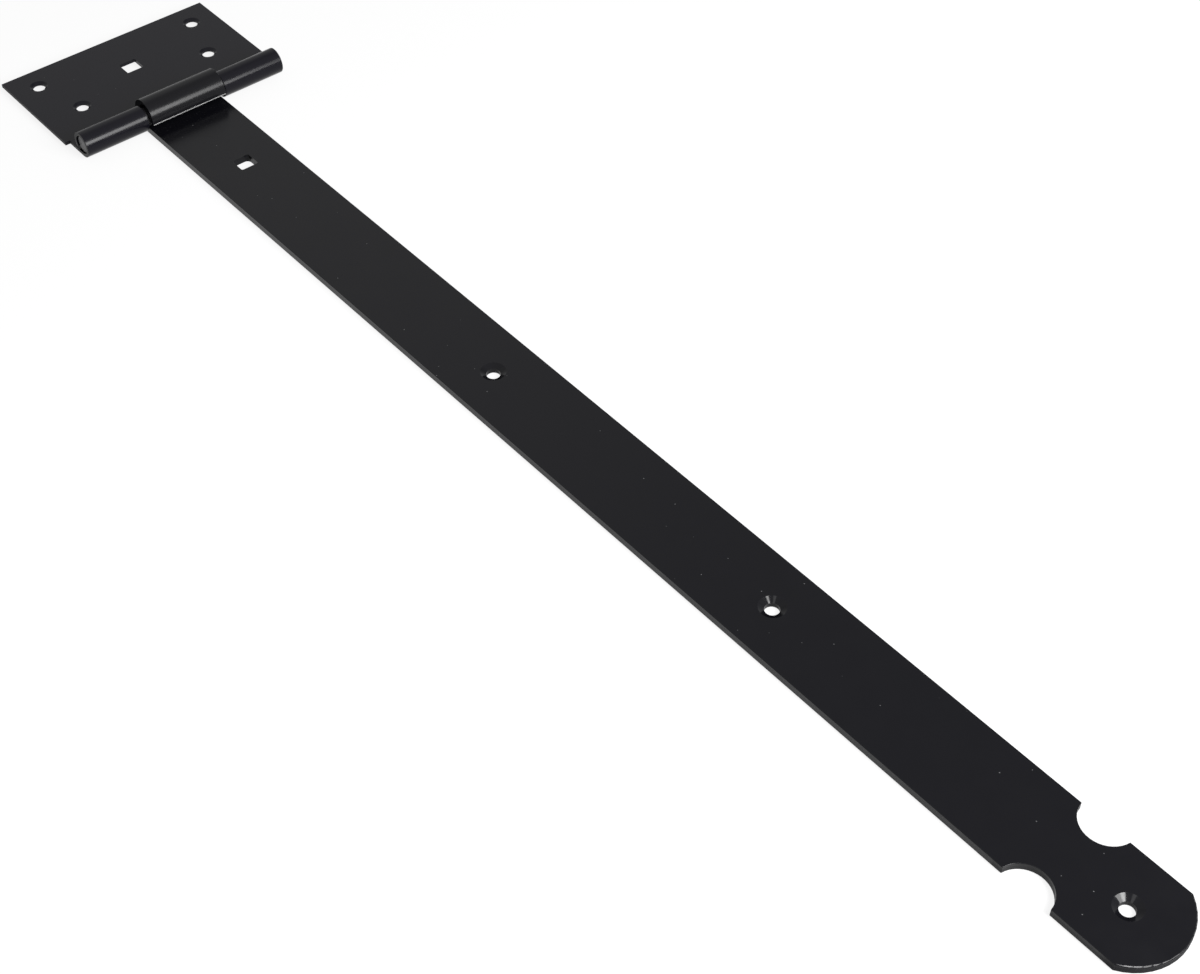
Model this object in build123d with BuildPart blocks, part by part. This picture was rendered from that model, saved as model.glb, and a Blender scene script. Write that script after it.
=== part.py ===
from build123d import *
from math import degrees
import os

# Heavy tee hinge: a long strap with a rolled knuckle, a cross plate with two rolled knuckles, one pin.
# Millimetres. +X runs along the strap to its tip, +Y along the pin, +Z to the front of the hinge.
# The origin is on the strap's back face, straight behind the pin and half way along it.

# Strap: one flat bar
strap_width = 40.0
strap_thickness = 3.5
strap_reach = 596.0  # pin axis to tip
tip_crown = 11.1  # how far the tip's arc stands past its two corners
bite_from_tip = 47.8  # centres of the two round bites beside the tip
bite_radius = 10.5
bite_depth = 9.1
strap_roll_sweep = 281.0  # degrees, from the back face round to the cut end
strap_knuckle_rise = 1.0  # how much taller than round the knuckle is
strap_edge_radius = 0.2
drawn_edge_radius = 0.5  # front edge of the tip's arc
lip_height = 0.45  # the knuckle's sheared end stands this far proud
lip_length = 0.6
lip_radius = 0.25

# Cross plate: one sheet
plate_length = 112.4  # along the pin
plate_reach = 74.0  # pin axis to back edge
plate_thickness = 1.75
lug_length = 12.5  # pin axis back to the root of each lug
lug_inset = 2.4  # step from the plate's end in to the lug
plate_roll_sweep = 305.0  # degrees
plate_edge_radius = 0.15

# Pin
pin_diameter = 9.0
pin_recess = 0.7  # each end of the pin sits this far inside its knuckle
pin_chamfer = 0.6

# Fits
running_clearance = 0.08  # radial, strap knuckle on pin, which lies in the bottom of it
knuckle_gap = 1.2  # between neighbouring knuckles, along the pin
cutout_clearance = 1.4  # strap knuckle to the plate's cut-out

# Screw holes and bolt holes
countersink_angle = 118.0
strap_screw_diameter = 6.0
strap_countersink_diameter = 11.0
strap_screw_pitch = 166.8
strap_screw_count = 3
strap_screw_from_tip = 21.8
plate_screw_diameter = 6.0
plate_countersink_diameter = 8.6
outer_screw_from_pin = 61.0
outer_screw_spacing = 86.2
inner_screw_from_pin = 33.2
inner_screw_spacing = 70.6
bolt_square = 8.7
bolt_corner_radius = 0.8
bolt_breakout_radius = 2.2  # the same corners where the punch broke through the strap's back
strap_bolt_from_pin = 54.2
plate_bolt_from_pin = 47.2
plate_bolt_corner_radius = 0.5

# Sizes that follow
pin_radius = pin_diameter / 2
strap_bore_radius = pin_radius + running_clearance
strap_knuckle_radius = strap_bore_radius + strap_thickness
plate_knuckle_radius = pin_radius + plate_thickness
axis_height = strap_knuckle_radius
crown_height = axis_height + strap_knuckle_rise  # middle of the strap knuckle's upper arc
plate_back = axis_height - plate_knuckle_radius
plate_front = plate_back + plate_thickness
half_strap = strap_width / 2
tip_corner_x = strap_reach - tip_crown
bite_x = strap_reach - bite_from_tip
bite_y = half_strap + bite_radius - bite_depth
screw_row_x = strap_reach - strap_screw_from_tip - strap_screw_pitch * (strap_screw_count - 1) / 2
cutout_x = strap_knuckle_radius + cutout_clearance
lug_inner = half_strap + knuckle_gap
lug_outer = plate_length / 2 - lug_inset
pin_length = 2 * (lug_outer - pin_recess)

os.makedirs("parts", exist_ok=True)

# Strap: a flat bar with a segment-shaped tip and a bite out of each side
with BuildPart() as strap:
    with BuildSketch():
        with BuildLine():
            Polyline((tip_corner_x, -half_strap), (0, -half_strap), (0, half_strap), (tip_corner_x, half_strap))
            ThreePointArc((tip_corner_x, half_strap), (strap_reach, 0), (tip_corner_x, -half_strap))
        make_face()
        with Locations((bite_x, bite_y), (bite_x, -bite_y)):
            Circle(bite_radius, mode=Mode.SUBTRACT)
    extrude(amount=strap_thickness)

    # the other end curls up behind the pin, over it and down in front, and stops short of the bar
    with BuildSketch(Plane.XZ):
        with BuildLine():
            upper_sweep = 90 - strap_roll_sweep
            behind = CenterArc((0, axis_height), strap_knuckle_radius, -90, -90)
            over = CenterArc((0, crown_height), strap_knuckle_radius, 180, upper_sweep)
            behind_inside = CenterArc((0, axis_height), strap_bore_radius, -90, -90)
            over_inside = CenterArc((0, crown_height), strap_bore_radius, 180, upper_sweep)
            Line(behind @ 0, behind_inside @ 0)
            Line(behind @ 1, over @ 0)
            Line(behind_inside @ 1, over_inside @ 0)
            Line(over @ 1, over_inside @ 1)
        make_face()
    extrude(amount=half_strap, both=True)

    # the die that cut the tip drew its front edge down a little
    tip_arcs = strap.edges().filter_by(GeomType.CIRCLE).sort_by(Axis.X)[-2:]
    fillet(tip_arcs.sort_by(Axis.Z)[-1], radius=drawn_edge_radius)

    # softened edges all round; of those along the pin only the two at the cut end, the rest are smooth bends
    bend_lines = strap.edges().filter_by(Axis.Y).sort_by(Axis.X)[:-2]
    drawn_edges = strap.faces().filter_by(GeomType.TORUS).edges()
    fillet(strap.edges() - bend_lines - drawn_edges, radius=strap_edge_radius)

    # the last stretch of so thick a bar doesn't bend, and its sheared edge stands out as a small lip
    with BuildSketch(Plane.XZ):
        with BuildLine():
            end_angle = -90 - strap_roll_sweep
            lip_angle = degrees(lip_length / strap_knuckle_radius)
            cut = PolarLine((0, crown_height), strap_knuckle_radius + lip_height, end_angle, mode=Mode.PRIVATE)
            root = PolarLine((0, crown_height), strap_knuckle_radius, end_angle + lip_angle, mode=Mode.PRIVATE)
            outline = Polyline(cut @ 1, root @ 1, root @ 0.8, cut @ 0.8, close=True)
        lip = make_face()
        fillet(lip.vertices().sort_by_distance(cut @ 1)[0], radius=lip_radius)
    extrude(amount=half_strap - strap_edge_radius, both=True)

    # countersunk screw holes in a row
    with Locations((screw_row_x, 0, strap_thickness)):
        with GridLocations(strap_screw_pitch, 0, strap_screw_count, 1):
            CounterSinkHole(
                strap_screw_diameter / 2,
                strap_countersink_diameter / 2,
                counter_sink_angle=countersink_angle,
            )

    # square bolt hole, crisp at the front and broken out rounder at the back
    with BuildSketch():
        with Locations((strap_bolt_from_pin, 0)):
            RectangleRounded(bolt_square, bolt_square, bolt_breakout_radius)
    with BuildSketch(Plane.XY.offset(strap_thickness)):
        with Locations((strap_bolt_from_pin, 0)):
            RectangleRounded(bolt_square, bolt_square, bolt_corner_radius)
    loft(ruled=True, mode=Mode.SUBTRACT)
strap.part.label = "strap"

# Cross plate: a sheet whose front edge is cut to two lugs, with room between them for the strap's knuckle
with BuildPart() as wing_plate:
    with BuildSketch(Plane.XY.offset(plate_back)):
        with BuildLine():
            Polyline(
                (-plate_reach, 0),
                (-plate_reach, plate_length / 2),
                (-lug_length, plate_length / 2),
                (-lug_length, lug_outer),
                (0, lug_outer),
                (0, lug_inner),
                (-cutout_x, lug_inner),
                (-cutout_x, 0),
            )
            mirror(about=Plane.XZ)
        make_face()
    extrude(amount=plate_thickness)

    # each lug curls up in front of the pin, over it and down behind, and stops just short of the plate
    for lug_start in (lug_inner, -lug_outer):
        with BuildSketch(Plane.XZ.offset(lug_start)):
            with BuildLine():
                outside = CenterArc((0, axis_height), plate_knuckle_radius, -90, plate_roll_sweep)
                inside = CenterArc((0, axis_height), pin_radius, -90, plate_roll_sweep)
                Line(outside @ 0, inside @ 0)
                Line(outside @ 1, inside @ 1)
            make_face()
        extrude(amount=lug_outer - lug_inner)

    # softened edges, again without one where the lugs begin to curl
    bend_lines = wing_plate.edges().filter_by(Axis.Y).filter_by_position(Axis.X, -0.01, 0.01)
    fillet(wing_plate.edges() - bend_lines, radius=plate_edge_radius)

    # four countersunk screw holes, the pair by the knuckles closer together
    screw_pairs = (
        (outer_screw_from_pin, outer_screw_spacing),
        (inner_screw_from_pin, inner_screw_spacing),
    )
    for from_pin, spacing in screw_pairs:
        with Locations((-from_pin, 0, plate_front)):
            with GridLocations(0, spacing, 1, 2):
                CounterSinkHole(
                    plate_screw_diameter / 2,
                    plate_countersink_diameter / 2,
                    counter_sink_angle=countersink_angle,
                )

    # square bolt hole between them
    with BuildSketch(Plane.XY.offset(plate_back)):
        with Locations((-plate_bolt_from_pin, 0)):
            RectangleRounded(bolt_square, bolt_square, plate_bolt_corner_radius)
    extrude(amount=plate_thickness, mode=Mode.SUBTRACT)
wing_plate.part.label = "wing_plate"

# Pin: a plain rod, both ends chamfered, held by the two outer knuckles
with BuildPart() as pin:
    with BuildSketch(Plane.XZ.offset(-pin_length / 2)):
        with Locations((0, axis_height)):
            Circle(pin_radius)
    extrude(amount=pin_length)
    chamfer(pin.faces().filter_by(Axis.Y).edges(), length=pin_chamfer)
pin.part.label = "pin"

export_step(strap.part, "parts/strap.step")
export_step(wing_plate.part, "parts/wing_plate.step")
export_step(pin.part, "parts/pin.step")
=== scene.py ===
from math import cos, radians, sin

import bpy
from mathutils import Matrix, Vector

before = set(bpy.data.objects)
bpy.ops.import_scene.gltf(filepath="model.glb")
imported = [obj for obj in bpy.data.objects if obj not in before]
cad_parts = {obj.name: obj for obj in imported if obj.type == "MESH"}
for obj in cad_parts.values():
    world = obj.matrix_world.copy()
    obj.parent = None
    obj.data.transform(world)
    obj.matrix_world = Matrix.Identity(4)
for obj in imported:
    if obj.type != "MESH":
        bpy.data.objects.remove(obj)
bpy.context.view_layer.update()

# Camera: it stands off the tip of the strap and to its left, at arm's length above the bench, and looks
# back along the strap to the knuckles. Lens and place come from a fit to the edges and holes.
camera_lens = 59.25
camera_sensor = 36.0
camera_nearest = 0.01
camera_place = (0.72703, -0.35483, 0.55840)
camera_turn = (radians(43.9153), radians(-0.114), radians(49.7946))

photo_camera = bpy.data.objects.new("photo_camera", bpy.data.cameras.new("photo_camera"))
photo_camera.data.lens = camera_lens
photo_camera.data.sensor_width = camera_sensor
photo_camera.data.clip_start = camera_nearest
photo_camera.location = camera_place
photo_camera.rotation_euler = camera_turn
bpy.context.scene.collection.objects.link(photo_camera)
bpy.context.scene.camera = photo_camera


# Strap: a 40 mm flat steel bar. Its tip and bites are blanked in a die, its screw holes countersunk, its
# square hole punched, and its other end rolled to an eye round the pin. It is stoved satin black all over,
# thin on sharp edges, a touch lighter in patches toward the tip, and a little dusty. Its colour also
# holds painted light: a painted highlight on sharp edges and on the eye's lip, and a painted reflection of
# the floor on its outer walls.
pin_axis_height = 0.00808
strap_eye_reach = 0.0098
strap_outline = 0.0187
outline_blur = 0.0005
strap_blanked_from = 0.533
strap_blanked_blur = 0.001
strap_break_height = 0.0023
strap_tip_end = 0.578
strap_tip_blur = 0.006
strap_tip_patches_from = 0.560
strap_tip_patches_to = 0.596
strap_bolt_hole = 0.0542
bolt_hole_reach = 0.0070
strap_lip_front = 0.0081
strap_lip_bottom = 0.0072
strap_lip_top = 0.0081
strap_lip_blur = 0.0002
strap_lip_top_blur = 0.0001
strap_thin_width = 0.0004
strap_dust_size = 0.00032
strap_dust_spread = 160.0
strap_peel_scale = 900.0
strap_patch_scale = 70.0
strap_peel_depth = 1.6  # micrometres
strap_roll_depth = 10.0  # micrometres
micrometre = 0.000001

strap_black = (0.0027, 0.0027, 0.0038, 1)
# sharp edges: a thinner coat, and a painted highlight
strap_thin_edge_and_highlight = (0.0150, 0.0150, 0.0160, 1)
# painted reflection of the floor on the outer walls
strap_wall_painted_reflection = (0.0100, 0.0100, 0.0110, 1)
# a little lighter in patches toward the tip
strap_tip_patch_black = (0.0033, 0.0033, 0.0044, 1)
# painted highlight on the eye's lip
strap_lip_painted_highlight = (0.17, 0.17, 0.17, 1)
dust_grey = (0.075, 0.075, 0.078, 1)
coat_gloss = 0.17

# how much of the walls' painted reflection is left off those the die cut, and again at the tip
die_wall_less = 0.5
tip_wall_less = 0.3

# roughness of the coat, what each worn place adds to it, and what the countersinks' cones lack
strap_smooth = 0.19
strap_dull = 0.24
torn_dullness = 0.12
punched_dullness = 0.05
die_wall_dullness = 0.15
tip_wall_dullness = 0.30
dust_dullness = 0.35
strap_cone_polish = 0.10


def add_node(tree, kind, inputs=(), **settings):
    """Adds a shader node. Each input is a value, or another node's output to wire in."""
    added = tree.nodes.new("ShaderNode" + kind)
    for name, value in settings.items():
        setattr(added, name, value)
    for socket, value in dict(inputs).items():
        if isinstance(value, bpy.types.NodeSocket):
            tree.links.new(value, added.inputs[socket])
        else:
            added.inputs[socket].default_value = value
    return added


def compute(tree, operation, *values):
    """The output of a Math node."""
    return add_node(tree, "Math", enumerate(values), operation=operation).outputs[0]


def ramp(tree, value, low, high, to_low=0.0, to_high=1.0, kind="SMOOTHSTEP"):
    """The output of a Map Range node: to_low below low, to_high above high, smooth between."""
    sizes = {"Value": value, "From Min": low, "From Max": high, "To Min": to_low, "To Max": to_high}
    return add_node(tree, "MapRange", sizes, interpolation_type=kind).outputs[0]


def noise(tree, place, scale, detail):
    """The output of a Noise Texture node, about 0.5 on average."""
    return add_node(tree, "TexNoise", {"Vector": place, "Scale": scale, "Detail": detail}).outputs["Fac"]


def split(tree, vector):
    """The X, Y and Z outputs of a Separate XYZ node."""
    return add_node(tree, "SeparateXYZ", {0: vector}).outputs


def radius(tree, along, across):
    """How far a point is from a centre, from its two distances to it."""
    flat = add_node(tree, "CombineXYZ", {"X": along, "Y": across})
    return add_node(tree, "VectorMath", {0: flat.outputs[0]}, operation="LENGTH").outputs["Value"]


def likeness(tree, one, other):
    """How alike two directions are: 1 for the same, 0 for square to each other."""
    return add_node(tree, "VectorMath", {0: one, 1: other}, operation="DOT_PRODUCT").outputs["Value"]


def blend_colours(tree, mask, under, over):
    """The output of a Mix node: under where the mask is 0, over where it is 1."""
    colours = {"Factor": mask, 6: under, 7: over}
    return add_node(tree, "Mix", colours, data_type="RGBA").outputs[2]


def add_steps(tree, value, steps):
    """The value, with each step's amount added where that step's mask is 1."""
    for mask, amount in steps:
        value = compute(tree, "ADD", value, compute(tree, "MULTIPLY", mask, amount))
    return value


def open_group(name, inputs, outputs):
    """An empty shader group, with the outputs of its input node and its output node."""
    group = bpy.data.node_groups.new(name, "ShaderNodeTree")
    for socket_name, kind in inputs.items():
        group.interface.new_socket(name=socket_name, in_out="INPUT", socket_type="NodeSocket" + kind)
    for socket_name in outputs:
        group.interface.new_socket(name=socket_name, in_out="OUTPUT", socket_type="NodeSocketFloat")
    given = group.nodes.new("NodeGroupInput").outputs
    put_out = group.nodes.new("NodeGroupOutput").inputs
    return group, given, put_out


def place_group(tree, group, **inputs):
    """Places a shader group in a material and returns its outputs."""
    placed = tree.nodes.new("ShaderNodeGroup")
    placed.node_tree = group
    for socket, value in inputs.items():
        if isinstance(value, bpy.types.NodeSocket):
            tree.links.new(value, placed.inputs[socket])
        else:
            placed.inputs[socket].default_value = value
    return placed.outputs


def open_material(name, gloss):
    """A new material with its node tree, its shader and the outputs of its Texture Coordinate node."""
    material = bpy.data.materials.new(name)
    material.use_nodes = True
    tree = material.node_tree
    shader = tree.nodes["Principled BSDF"]
    shader.inputs["Specular IOR Level"].default_value = gloss
    where = add_node(tree, "TexCoord").outputs
    return material, tree, shader, where


def raise_surface(tree, shader, height, step=micrometre, strength=1.0):
    """Bumps the shader's surface by a height that is counted in steps, of a micrometre if none is given."""
    relief = add_node(tree, "Bump", {"Strength": strength, "Distance": step, "Height": height})
    tree.links.new(relief.outputs["Normal"], shader.inputs["Normal"])


def dress(name, material):
    """Gives a piece of the CAD its one material."""
    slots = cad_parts[name].data.materials
    slots.clear()
    slots.append(material)


def make_coat_grain():
    """Faint orange peel of a stoved coat, in micrometres, and the slow patchiness of its sheen."""
    swell_over_peel = 6.0
    patch_shiny = 0.3
    patch_dull = 0.7
    group, given, put_out = open_group(
        "coat_grain",
        {"Place": "Vector", "Peel": "Float", "Patches": "Float", "Depth": "Float"},
        ("Height", "Patch"),
    )
    peel = noise(group, given["Place"], given["Peel"], detail=3.0)
    patch = noise(group, given["Place"], given["Patches"], detail=4.0)
    swell = compute(group, "MULTIPLY", patch, swell_over_peel)
    height = compute(group, "MULTIPLY", compute(group, "ADD", peel, swell), given["Depth"])
    group.links.new(height, put_out["Height"])
    group.links.new(ramp(group, patch, patch_shiny, patch_dull), put_out["Patch"])
    return group


def make_thin_edge():
    """Sharp edges, where the coat drew back as it was stoved and takes a painted highlight: 1 on, 0 off."""
    bevel_samples = 8
    break_up_scale = 420.0
    least_worn = 0.35
    break_up_low = 0.25
    break_up_high = 0.75
    edge_starts = 0.99
    edge_full = 0.80
    group, given, put_out = open_group("thin_edge", {"Place": "Vector", "Width": "Float"}, ("Mask",))
    rounded = add_node(group, "Bevel", {"Radius": given["Width"]}, samples=bevel_samples)
    shape = add_node(group, "NewGeometry")
    same = likeness(group, rounded.outputs["Normal"], shape.outputs["Normal"])
    edge = ramp(group, same, edge_starts, edge_full)
    uneven = noise(group, given["Place"], break_up_scale, detail=2.0)
    broken = ramp(group, uneven, break_up_low, break_up_high, least_worn, 1.0)
    group.links.new(compute(group, "MULTIPLY", edge, broken), put_out["Mask"])
    return group


def make_dust():
    """A few specks of dust, each a fraction of a millimetre across."""
    soft_share = 0.6
    group, given, put_out = open_group(
        "dust", {"Place": "Vector", "Spread": "Float", "Size": "Float"}, ("Mask",)
    )
    cells = add_node(group, "TexVoronoi", {"Vector": given["Place"], "Scale": given["Spread"]})
    size = compute(group, "MULTIPLY", given["Size"], given["Spread"])
    near = compute(group, "SUBTRACT", size, cells.outputs["Distance"])
    speck = ramp(group, compute(group, "DIVIDE", near, size), 0.0, soft_share)
    group.links.new(speck, put_out["Mask"])
    return group


def make_rolled():
    """The rolled knuckle: 1 on it, and the shallow marks that the roll left round it, in micrometres."""
    fades_over = 0.0010
    unroll_radius = 0.0016  # far less than the knuckle's own, which draws the marks out round it
    mark_scale = 460.0
    group, given, put_out = open_group(
        "rolled",
        {"Place": "Vector", "Axis": "Float", "Reach": "Float", "Depth": "Float"},
        ("Mask", "Height"),
    )
    spot = split(group, given["Place"])
    above = compute(group, "SUBTRACT", spot["Z"], given["Axis"])
    beyond = compute(group, "SUBTRACT", radius(group, spot["X"], above), given["Reach"])
    mask = ramp(group, beyond, 0.0, fades_over, 1.0, 0.0)
    turn = compute(group, "MULTIPLY", compute(group, "ARCTAN2", above, spot["X"]), unroll_radius)
    unrolled = add_node(group, "CombineXYZ", {"X": turn, "Y": spot["Y"]})
    marks = noise(group, unrolled.outputs[0], mark_scale, detail=3.0)
    deep = compute(group, "MULTIPLY", marks, given["Depth"])
    group.links.new(mask, put_out["Mask"])
    group.links.new(compute(group, "MULTIPLY", deep, mask), put_out["Height"])
    return group


def make_blanked_wall():
    """A wall cut in a die: smooth above where the metal broke, grainy and a little set back below it."""
    break_wander = 0.00018
    break_blur = 0.00012
    wander_scale = 130.0
    wander_low = 0.2
    wander_high = 0.8
    tear_scale = 2600.0
    tear_stretch = (1, 1, 0.2)
    tear_depth = 9.0  # micrometres, as the next
    set_back = 22.0
    wall_lean = 0.15
    face_lean = 0.45
    group, given, put_out = open_group(
        "blanked_wall",
        {"Place": "Vector", "Facing": "Vector", "Break": "Float"},
        ("Wall", "Mask", "Height"),
    )
    upright = compute(group, "ABSOLUTE", split(group, given["Facing"])["Z"])
    wall = ramp(group, upright, wall_lean, face_lean, 1.0, 0.0)
    spot = split(group, given["Place"])
    wander = noise(group, given["Place"], wander_scale, detail=2.0)
    drift = ramp(group, wander, wander_low, wander_high, -break_wander, break_wander, "LINEAR")
    below = compute(group, "SUBTRACT", compute(group, "ADD", given["Break"], drift), spot["Z"])
    broken = ramp(group, below, -break_blur, break_blur)
    stretched = add_node(
        group, "VectorMath", {0: given["Place"], 1: tear_stretch}, operation="MULTIPLY"
    ).outputs[0]
    torn = compute(group, "MULTIPLY", noise(group, stretched, tear_scale, detail=3.0), tear_depth)
    depth = compute(group, "MULTIPLY", compute(group, "SUBTRACT", torn, set_back), broken)
    group.links.new(wall, put_out["Wall"])
    group.links.new(compute(group, "MULTIPLY", broken, wall), put_out["Mask"])
    group.links.new(compute(group, "MULTIPLY", depth, wall), put_out["Height"])
    return group


def make_round_zone():
    """A round zone on a flat piece, centred on the object's x axis: 1 within it, 0 outside."""
    group, given, put_out = open_group(
        "round_zone", {"Place": "Vector", "Centre": "Float", "Reach": "Float"}, ("Mask",)
    )
    spot = split(group, given["Place"])
    along = compute(group, "SUBTRACT", spot["X"], given["Centre"])
    away = radius(group, along, spot["Y"])
    group.links.new(compute(group, "LESS_THAN", away, given["Reach"]), put_out["Mask"])
    return group


def make_countersink():
    """The cutter's cone round a screw hole: 1 on it, 0 elsewhere on a flat piece."""
    # the normal of a 118 degree cone has a Z of 0.86, between these
    cone_from = (0.70, 0.80)
    cone_to = (0.90, 0.96)
    group, given, put_out = open_group("countersink", {"Facing": "Vector"}, ("Mask",))
    lean = split(group, given["Facing"])["Z"]
    flatter_than_wall = ramp(group, lean, *cone_from)
    steeper_than_face = ramp(group, lean, *cone_to, 1.0, 0.0)
    group.links.new(compute(group, "MULTIPLY", flatter_than_wall, steeper_than_face), put_out["Mask"])
    return group


coat_grain = make_coat_grain()
thin_edge = make_thin_edge()
dust = make_dust()
rolled = make_rolled()
blanked_wall = make_blanked_wall()
round_zone = make_round_zone()
countersink = make_countersink()


def coat_strap():
    """Satin black coat of the strap."""
    coat, tree, shader, where = open_material("strap_coat", coat_gloss)
    place = where["Object"]
    facing = where["Normal"]
    spot = split(tree, place)
    grain = place_group(
        tree,
        coat_grain,
        Place=place,
        Peel=strap_peel_scale,
        Patches=strap_patch_scale,
        Depth=strap_peel_depth,
    )
    edge = place_group(tree, thin_edge, Place=place, Width=strap_thin_width)
    specks = place_group(tree, dust, Place=place, Spread=strap_dust_spread, Size=strap_dust_size)
    eye = place_group(
        tree, rolled, Place=place, Axis=pin_axis_height, Reach=strap_eye_reach, Depth=strap_roll_depth
    )
    cut = place_group(tree, blanked_wall, Place=place, Facing=facing, Break=strap_break_height)
    cone = place_group(tree, countersink, Facing=facing)
    punched = place_group(tree, round_zone, Place=place, Centre=strap_bolt_hole, Reach=bolt_hole_reach)

    flat = compute(tree, "SUBTRACT", 1.0, eye["Mask"])
    blanked = ramp(tree, spot["X"], strap_blanked_from, strap_blanked_from + strap_blanked_blur)
    at_tip = ramp(tree, spot["X"], strap_tip_end, strap_tip_end + strap_tip_blur)
    torn = compute(tree, "MULTIPLY", cut["Mask"], blanked)
    torn_hole = compute(tree, "MULTIPLY", cut["Wall"], punched["Mask"])
    die_wall = compute(tree, "MULTIPLY", blanked, cut["Wall"])
    tip_wall = compute(tree, "MULTIPLY", at_tip, cut["Wall"])
    machined = compute(tree, "MULTIPLY", cone["Mask"], flat)

    # a painted reflection of the floor on the walls round the outside, less so where the die cut them
    side = ramp(tree, compute(tree, "ABSOLUTE", spot["Y"]), strap_outline, strap_outline + outline_blur)
    outline = compute(tree, "MULTIPLY", compute(tree, "MAXIMUM", side, blanked), cut["Wall"])
    outline = compute(tree, "MULTIPLY", outline, flat)
    outline = add_steps(tree, outline, ((die_wall, -die_wall_less), (tip_wall, -tip_wall_less)))

    # a painted highlight along the lip of the eye's sheared end, in front of the pin
    painted_lip_highlight = ramp(tree, spot["X"], strap_lip_front - strap_lip_blur, strap_lip_front)
    above_bottom = ramp(tree, spot["Z"], strap_lip_bottom - strap_lip_blur, strap_lip_bottom)
    below_top = ramp(tree, spot["Z"], strap_lip_top, strap_lip_top + strap_lip_top_blur, 1.0, 0.0)
    painted_lip_highlight = compute(tree, "MULTIPLY", compute(tree, "MULTIPLY", painted_lip_highlight, above_bottom), below_top)

    # a little lighter in patches toward the tip
    near_tip = ramp(tree, spot["X"], strap_tip_patches_from, strap_tip_patches_to)
    tip_patches = compute(tree, "MULTIPLY", near_tip, grain["Patch"])
    colour = blend_colours(tree, tip_patches, strap_black, strap_tip_patch_black)
    # painted reflection of the floor on the outer walls
    colour = blend_colours(tree, outline, colour, strap_wall_painted_reflection)
    # sharp edges: a thinner coat, and a painted highlight
    colour = blend_colours(tree, edge["Mask"], colour, strap_thin_edge_and_highlight)
    colour = blend_colours(tree, painted_lip_highlight, colour, strap_lip_painted_highlight)
    colour = blend_colours(tree, specks["Mask"], colour, dust_grey)
    tree.links.new(colour, shader.inputs["Base Color"])

    rough = ramp(tree, grain["Patch"], 0.0, 1.0, strap_smooth, strap_dull, "LINEAR")
    worn_places = (
        (torn, torn_dullness),
        (torn_hole, punched_dullness),
        (die_wall, die_wall_dullness),
        (tip_wall, tip_wall_dullness),
        (specks["Mask"], dust_dullness),
        (machined, -strap_cone_polish),
    )
    tree.links.new(add_steps(tree, rough, worn_places), shader.inputs["Roughness"])

    height = compute(tree, "ADD", grain["Height"], eye["Height"])
    raise_surface(tree, shader, add_steps(tree, height, ((blanked, cut["Height"]),)))
    return coat


dress("strap", coat_strap())


# Wing plate: a cross plate of thinner sheet, blanked with two lugs that are rolled tight round the pin. The
# coat is the strap's, though smoother and a little bluer on the sheet, and its screw holes are small. Its
# colour also holds a painted highlight on sharp edges and a painted reflection of the floor on its walls.
wing_knuckle_reach = 0.0066
wing_break_height = 0.0030
wing_outline_y = 0.0530
wing_outline_x = -0.0730
wing_bolt_hole = -0.0472
wing_thin_width = 0.0003
wing_dust_size = 0.00028
wing_dust_spread = 150.0
wing_peel_scale = 1000.0
wing_patch_scale = 90.0
wing_peel_depth = 1.2  # micrometres
wing_roll_depth = 7.0  # micrometres

wing_black = (0.0028, 0.0026, 0.0049, 1)
# sharp edges: a thinner coat, and a painted highlight
wing_thin_edge_and_highlight = (0.0150, 0.0150, 0.0175, 1)
# painted reflection of the floor on the outer walls
wing_wall_painted_reflection = (0.0060, 0.0060, 0.0072, 1)
wing_smooth = 0.18
wing_dull = 0.23
wing_wall_dullness = 0.25
wing_cone_polish = 0.08


def look_along_pin(tree, facing):
    """1 on faces that look along the pin, either way, and 0 on those that look away from it."""
    half_turned = 0.5
    nearly_along = 0.9
    return ramp(tree, compute(tree, "ABSOLUTE", split(tree, facing)["Y"]), half_turned, nearly_along)


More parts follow.
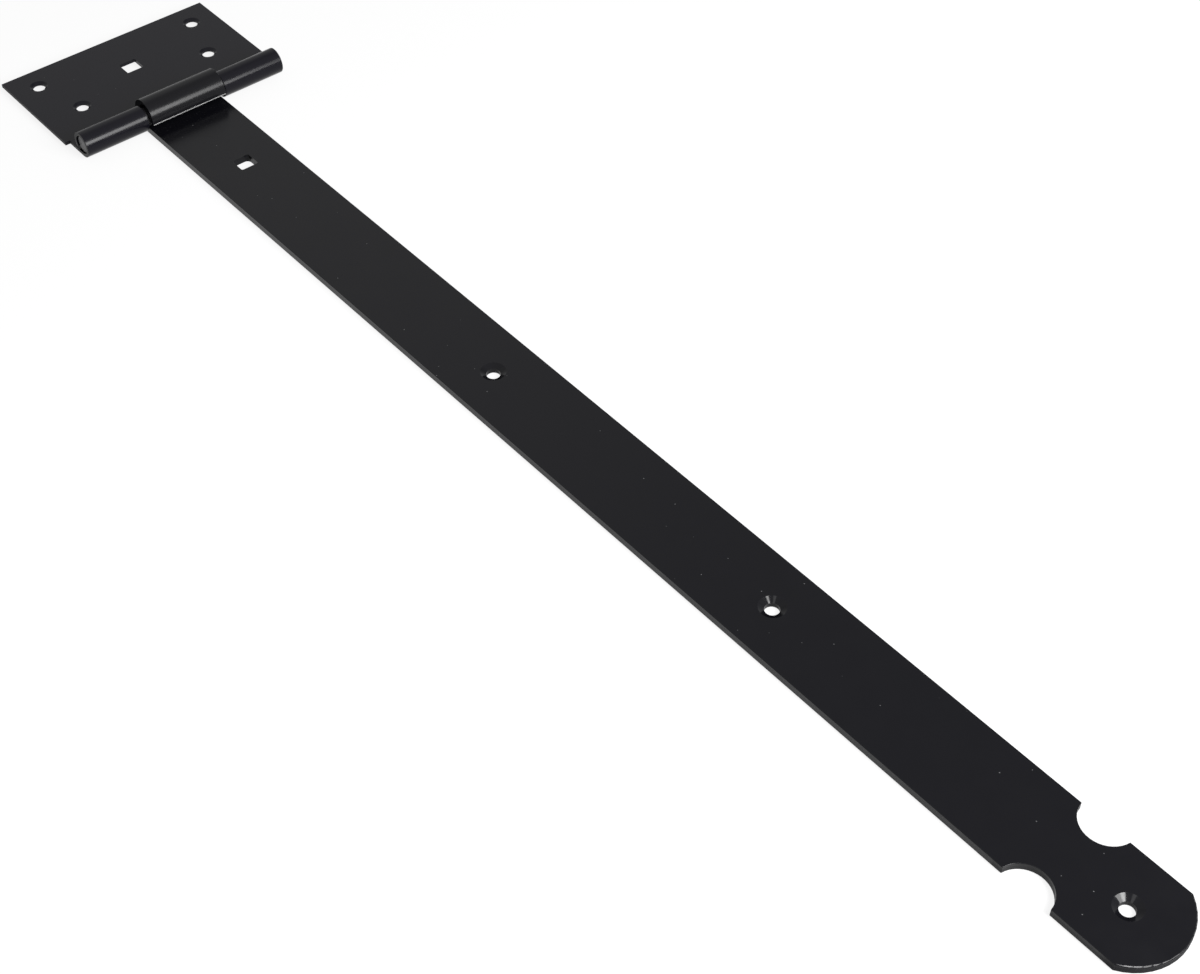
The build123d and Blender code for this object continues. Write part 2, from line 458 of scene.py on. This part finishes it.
def coat_wing():
    """Satin black coat of the wing plate."""
    coat, tree, shader, where = open_material("wing_coat", coat_gloss)
    place = where["Object"]
    facing = where["Normal"]
    spot = split(tree, place)
    grain = place_group(
        tree, coat_grain, Place=place, Peel=wing_peel_scale, Patches=wing_patch_scale, Depth=wing_peel_depth
    )
    edge = place_group(tree, thin_edge, Place=place, Width=wing_thin_width)
    specks = place_group(tree, dust, Place=place, Spread=wing_dust_spread, Size=wing_dust_size)
    knuckle = place_group(
        tree, rolled, Place=place, Axis=pin_axis_height, Reach=wing_knuckle_reach, Depth=wing_roll_depth
    )
    cut = place_group(tree, blanked_wall, Place=place, Facing=facing, Break=wing_break_height)
    cone = place_group(tree, countersink, Facing=facing)
    punched = place_group(tree, round_zone, Place=place, Centre=wing_bolt_hole, Reach=bolt_hole_reach)

    flat = compute(tree, "SUBTRACT", 1.0, knuckle["Mask"])
    torn = compute(tree, "MULTIPLY", cut["Mask"], flat)
    torn_hole = compute(tree, "MULTIPLY", cut["Wall"], punched["Mask"])
    machined = compute(tree, "MULTIPLY", cone["Mask"], flat)

    # a painted reflection of the floor on the walls round the outside of the plate
    side = ramp(tree, compute(tree, "ABSOLUTE", spot["Y"]), wing_outline_y, wing_outline_y + outline_blur)
    side = compute(tree, "MULTIPLY", side, look_along_pin(tree, facing))
    end = ramp(tree, spot["X"], wing_outline_x - outline_blur, wing_outline_x, 1.0, 0.0)
    outline = compute(tree, "MULTIPLY", compute(tree, "MAXIMUM", side, end), cut["Wall"])

    # painted reflection of the floor on the outer walls
    colour = blend_colours(tree, outline, wing_black, wing_wall_painted_reflection)
    # sharp edges: a thinner coat, and a painted highlight
    colour = blend_colours(tree, edge["Mask"], colour, wing_thin_edge_and_highlight)
    colour = blend_colours(tree, specks["Mask"], colour, dust_grey)
    tree.links.new(colour, shader.inputs["Base Color"])

    rough = ramp(tree, grain["Patch"], 0.0, 1.0, wing_smooth, wing_dull, "LINEAR")
    worn_places = (
        (specks["Mask"], dust_dullness),
        (torn, torn_dullness),
        (torn_hole, punched_dullness),
        (outline, wing_wall_dullness),
        (machined, -wing_cone_polish),
    )
    tree.links.new(add_steps(tree, rough, worn_places), shader.inputs["Roughness"])

    height = compute(tree, "ADD", grain["Height"], knuckle["Height"])
    raise_surface(tree, shader, add_steps(tree, height, ((flat, cut["Height"]),)))
    return coat


dress("wing_plate", coat_wing())


# Pin: a length of round steel rod, cut off and chamfered, pressed into the wing plate's knuckles before
# the hinge was stoved. Its ends kept little of the coat, and show the fine rings that facing them left.
pin_thin_width = 0.0004
pin_peel_scale = 1800.0
pin_patch_scale = 420.0
pin_peel_depth = 1.0  # micrometres
pin_ring_depth = 1.5  # micrometres
pin_rings = 24000.0  # radians a metre, so a ring every quarter of a millimetre

pin_bare = (0.085, 0.085, 0.087, 1)
pin_coated = (0.020, 0.020, 0.022, 1)
pin_gloss = 0.3
pin_smooth = 0.34
pin_dull = 0.46
pin_least_bare = 0.55


def finish_pin():
    """Dull dark steel with the remains of the coat."""
    steel, tree, shader, where = open_material("pin_steel", pin_gloss)
    place = where["Object"]
    grain = place_group(
        tree, coat_grain, Place=place, Peel=pin_peel_scale, Patches=pin_patch_scale, Depth=pin_peel_depth
    )
    edge = place_group(tree, thin_edge, Place=place, Width=pin_thin_width)
    spot = split(tree, place)
    above = compute(tree, "SUBTRACT", spot["Z"], pin_axis_height)
    rings = compute(tree, "SINE", compute(tree, "MULTIPLY", radius(tree, spot["X"], above), pin_rings))
    end_face = look_along_pin(tree, where["Normal"])

    worn = compute(tree, "MAXIMUM", end_face, edge["Mask"])
    bare = ramp(tree, grain["Patch"], 0.0, 1.0, pin_least_bare, 1.0, "LINEAR")
    bare = compute(tree, "MULTIPLY", worn, bare)
    tree.links.new(blend_colours(tree, bare, pin_coated, pin_bare), shader.inputs["Base Color"])
    tree.links.new(bare, shader.inputs["Metallic"])
    rough = ramp(tree, grain["Patch"], 0.0, 1.0, pin_smooth, pin_dull, "LINEAR")
    tree.links.new(rough, shader.inputs["Roughness"])
    turned = compute(tree, "MULTIPLY", compute(tree, "MULTIPLY", rings, end_face), pin_ring_depth)
    raise_surface(tree, shader, compute(tree, "ADD", grain["Height"], turned))
    return steel


dress("pin", finish_pin())


# Floor: a sheet of white paper, much larger than the hinge, that the hinge lies on. It shows as white to
# the camera and in the coat, with the hinge's faint shadow, and lights the hinge as plain pale paper does.
floor_half = 6.0
floor_height = -0.0003
paper_white = (0.82, 0.82, 0.82, 1)
paper_shown_white = 0.85
paper_gloss = 0.1
paper_roughness = 0.9
fibre_scale = 900.0
fibre_height = 0.00005
fibre_strength = 0.3


def lay_floor():
    """The paper and its material."""
    sheet = bpy.data.meshes.new("floor")
    corners = [(x, y, floor_height) for x, y in ((-1, -1), (1, -1), (1, 1), (-1, 1))]
    sheet.from_pydata([(x * floor_half, y * floor_half, z) for x, y, z in corners], [], [(0, 1, 2, 3)])
    paper, tree, shader, where = open_material("white_paper", paper_gloss)
    shader.inputs["Base Color"].default_value = paper_white
    shader.inputs["Roughness"].default_value = paper_roughness
    fibres = noise(tree, where["Object"], fibre_scale, detail=4.0)
    raise_surface(tree, shader, fibres, fibre_height, fibre_strength)
    ray = add_node(tree, "LightPath").outputs
    seen = compute(tree, "MAXIMUM", ray["Is Camera Ray"], ray["Is Glossy Ray"])
    seen = compute(tree, "MAXIMUM", seen, ray["Is Transmission Ray"])
    white = add_node(tree, "Emission", {"Strength": 1.0})
    shown = compute(tree, "MULTIPLY", seen, paper_shown_white)
    both = add_node(tree, "MixShader", {0: shown, 1: shader.outputs[0], 2: white.outputs[0]})
    tree.links.new(both.outputs[0], tree.nodes["Material Output"].inputs["Surface"])
    sheet.materials.append(paper)
    return bpy.data.objects.new("floor", sheet)


floor = lay_floor()
bpy.context.scene.collection.objects.link(floor)


# Light: a white tent all round, a little dimmer at its foot and in one high corner, and three softboxes.
# The low one draws the bright stripe along the knuckles, and the high ones glint in the countersinks.
tent_white = (1, 1, 1, 1)
tent_light = 0.4
tent_foot = 0.74
tent_wall = 0.94
tent_foot_ends = 0.52
tent_wall_starts = 0.62
tent_corner = (-0.20, 0.68, 0.70)
tent_corner_shade = 0.59
tent_corner_edge = 0.87
tent_corner_middle = 0.98

stripe_aim = (0.05, 0.0, 0.01)
stripe_distance = 1.2
stripe_azimuth = radians(102)
stripe_elevation = radians(27.3)
stripe_size = (0.6, 0.5)
stripe_watts = 16.2
glint_aim = (0.49, 0.0, 0.0)
glint_distance = 1.0
glint_azimuth = radians(98)
glint_elevation = radians(57)
glint_size = (0.3, 0.42)
glint_watts = 8.4
left_azimuth = radians(17)
left_elevation = radians(64)
left_size = (0.25, 0.3)
left_watts = 0.6


def hang_tent():
    """The white world: full white to the camera, a gentle gradient in the coat, dimmer as a light."""
    tent = bpy.data.worlds.new("tent")
    tent.use_nodes = True
    tree = tent.node_tree
    ray = add_node(tree, "LightPath").outputs
    toward = add_node(tree, "TexCoord").outputs["Generated"]
    up = split(tree, toward)["Z"]
    wall = ramp(tree, up, tent_foot_ends, tent_wall_starts, tent_foot, tent_wall)
    beside = likeness(tree, toward, tent_corner)
    corner = ramp(tree, beside, tent_corner_edge, tent_corner_middle, 1.0, tent_corner_shade)
    in_coat = compute(tree, "MULTIPLY", ray["Is Glossy Ray"], compute(tree, "MULTIPLY", wall, corner))
    seen = compute(tree, "MAXIMUM", ray["Is Camera Ray"], ray["Is Transmission Ray"])
    strength = compute(tree, "MAXIMUM", compute(tree, "MAXIMUM", seen, in_coat), tent_light)
    background = tree.nodes["Background"]
    background.inputs["Color"].default_value = tent_white
    tree.links.new(strength, background.inputs["Strength"])
    return tent


def set_softbox(name, aim, distance, azimuth, elevation, size, watts):
    """A rectangular area lamp, so far from the spot that it is aimed at."""
    lamp = bpy.data.lights.new(name, "AREA")
    lamp.shape = "RECTANGLE"
    lamp.size, lamp.size_y = size
    lamp.energy = watts
    softbox = bpy.data.objects.new(name, lamp)
    flat = cos(elevation)
    direction = Vector((sin(azimuth) * flat, -cos(azimuth) * flat, sin(elevation)))
    softbox.location = Vector(aim) + direction * distance
    softbox.rotation_mode = "QUATERNION"
    softbox.rotation_quaternion = (-direction).to_track_quat("-Z", "Y")
    bpy.context.scene.collection.objects.link(softbox)


bpy.context.scene.world = hang_tent()
set_softbox(
    "stripe_softbox",
    stripe_aim,
    stripe_distance,
    stripe_azimuth,
    stripe_elevation,
    stripe_size,
    stripe_watts,
)
set_softbox(
    "glint_softbox", glint_aim, glint_distance, glint_azimuth, glint_elevation, glint_size, glint_watts
)
set_softbox("left_softbox", glint_aim, glint_distance, left_azimuth, left_elevation, left_size, left_watts)
bpy.context.scene.view_settings.view_transform = "Standard"
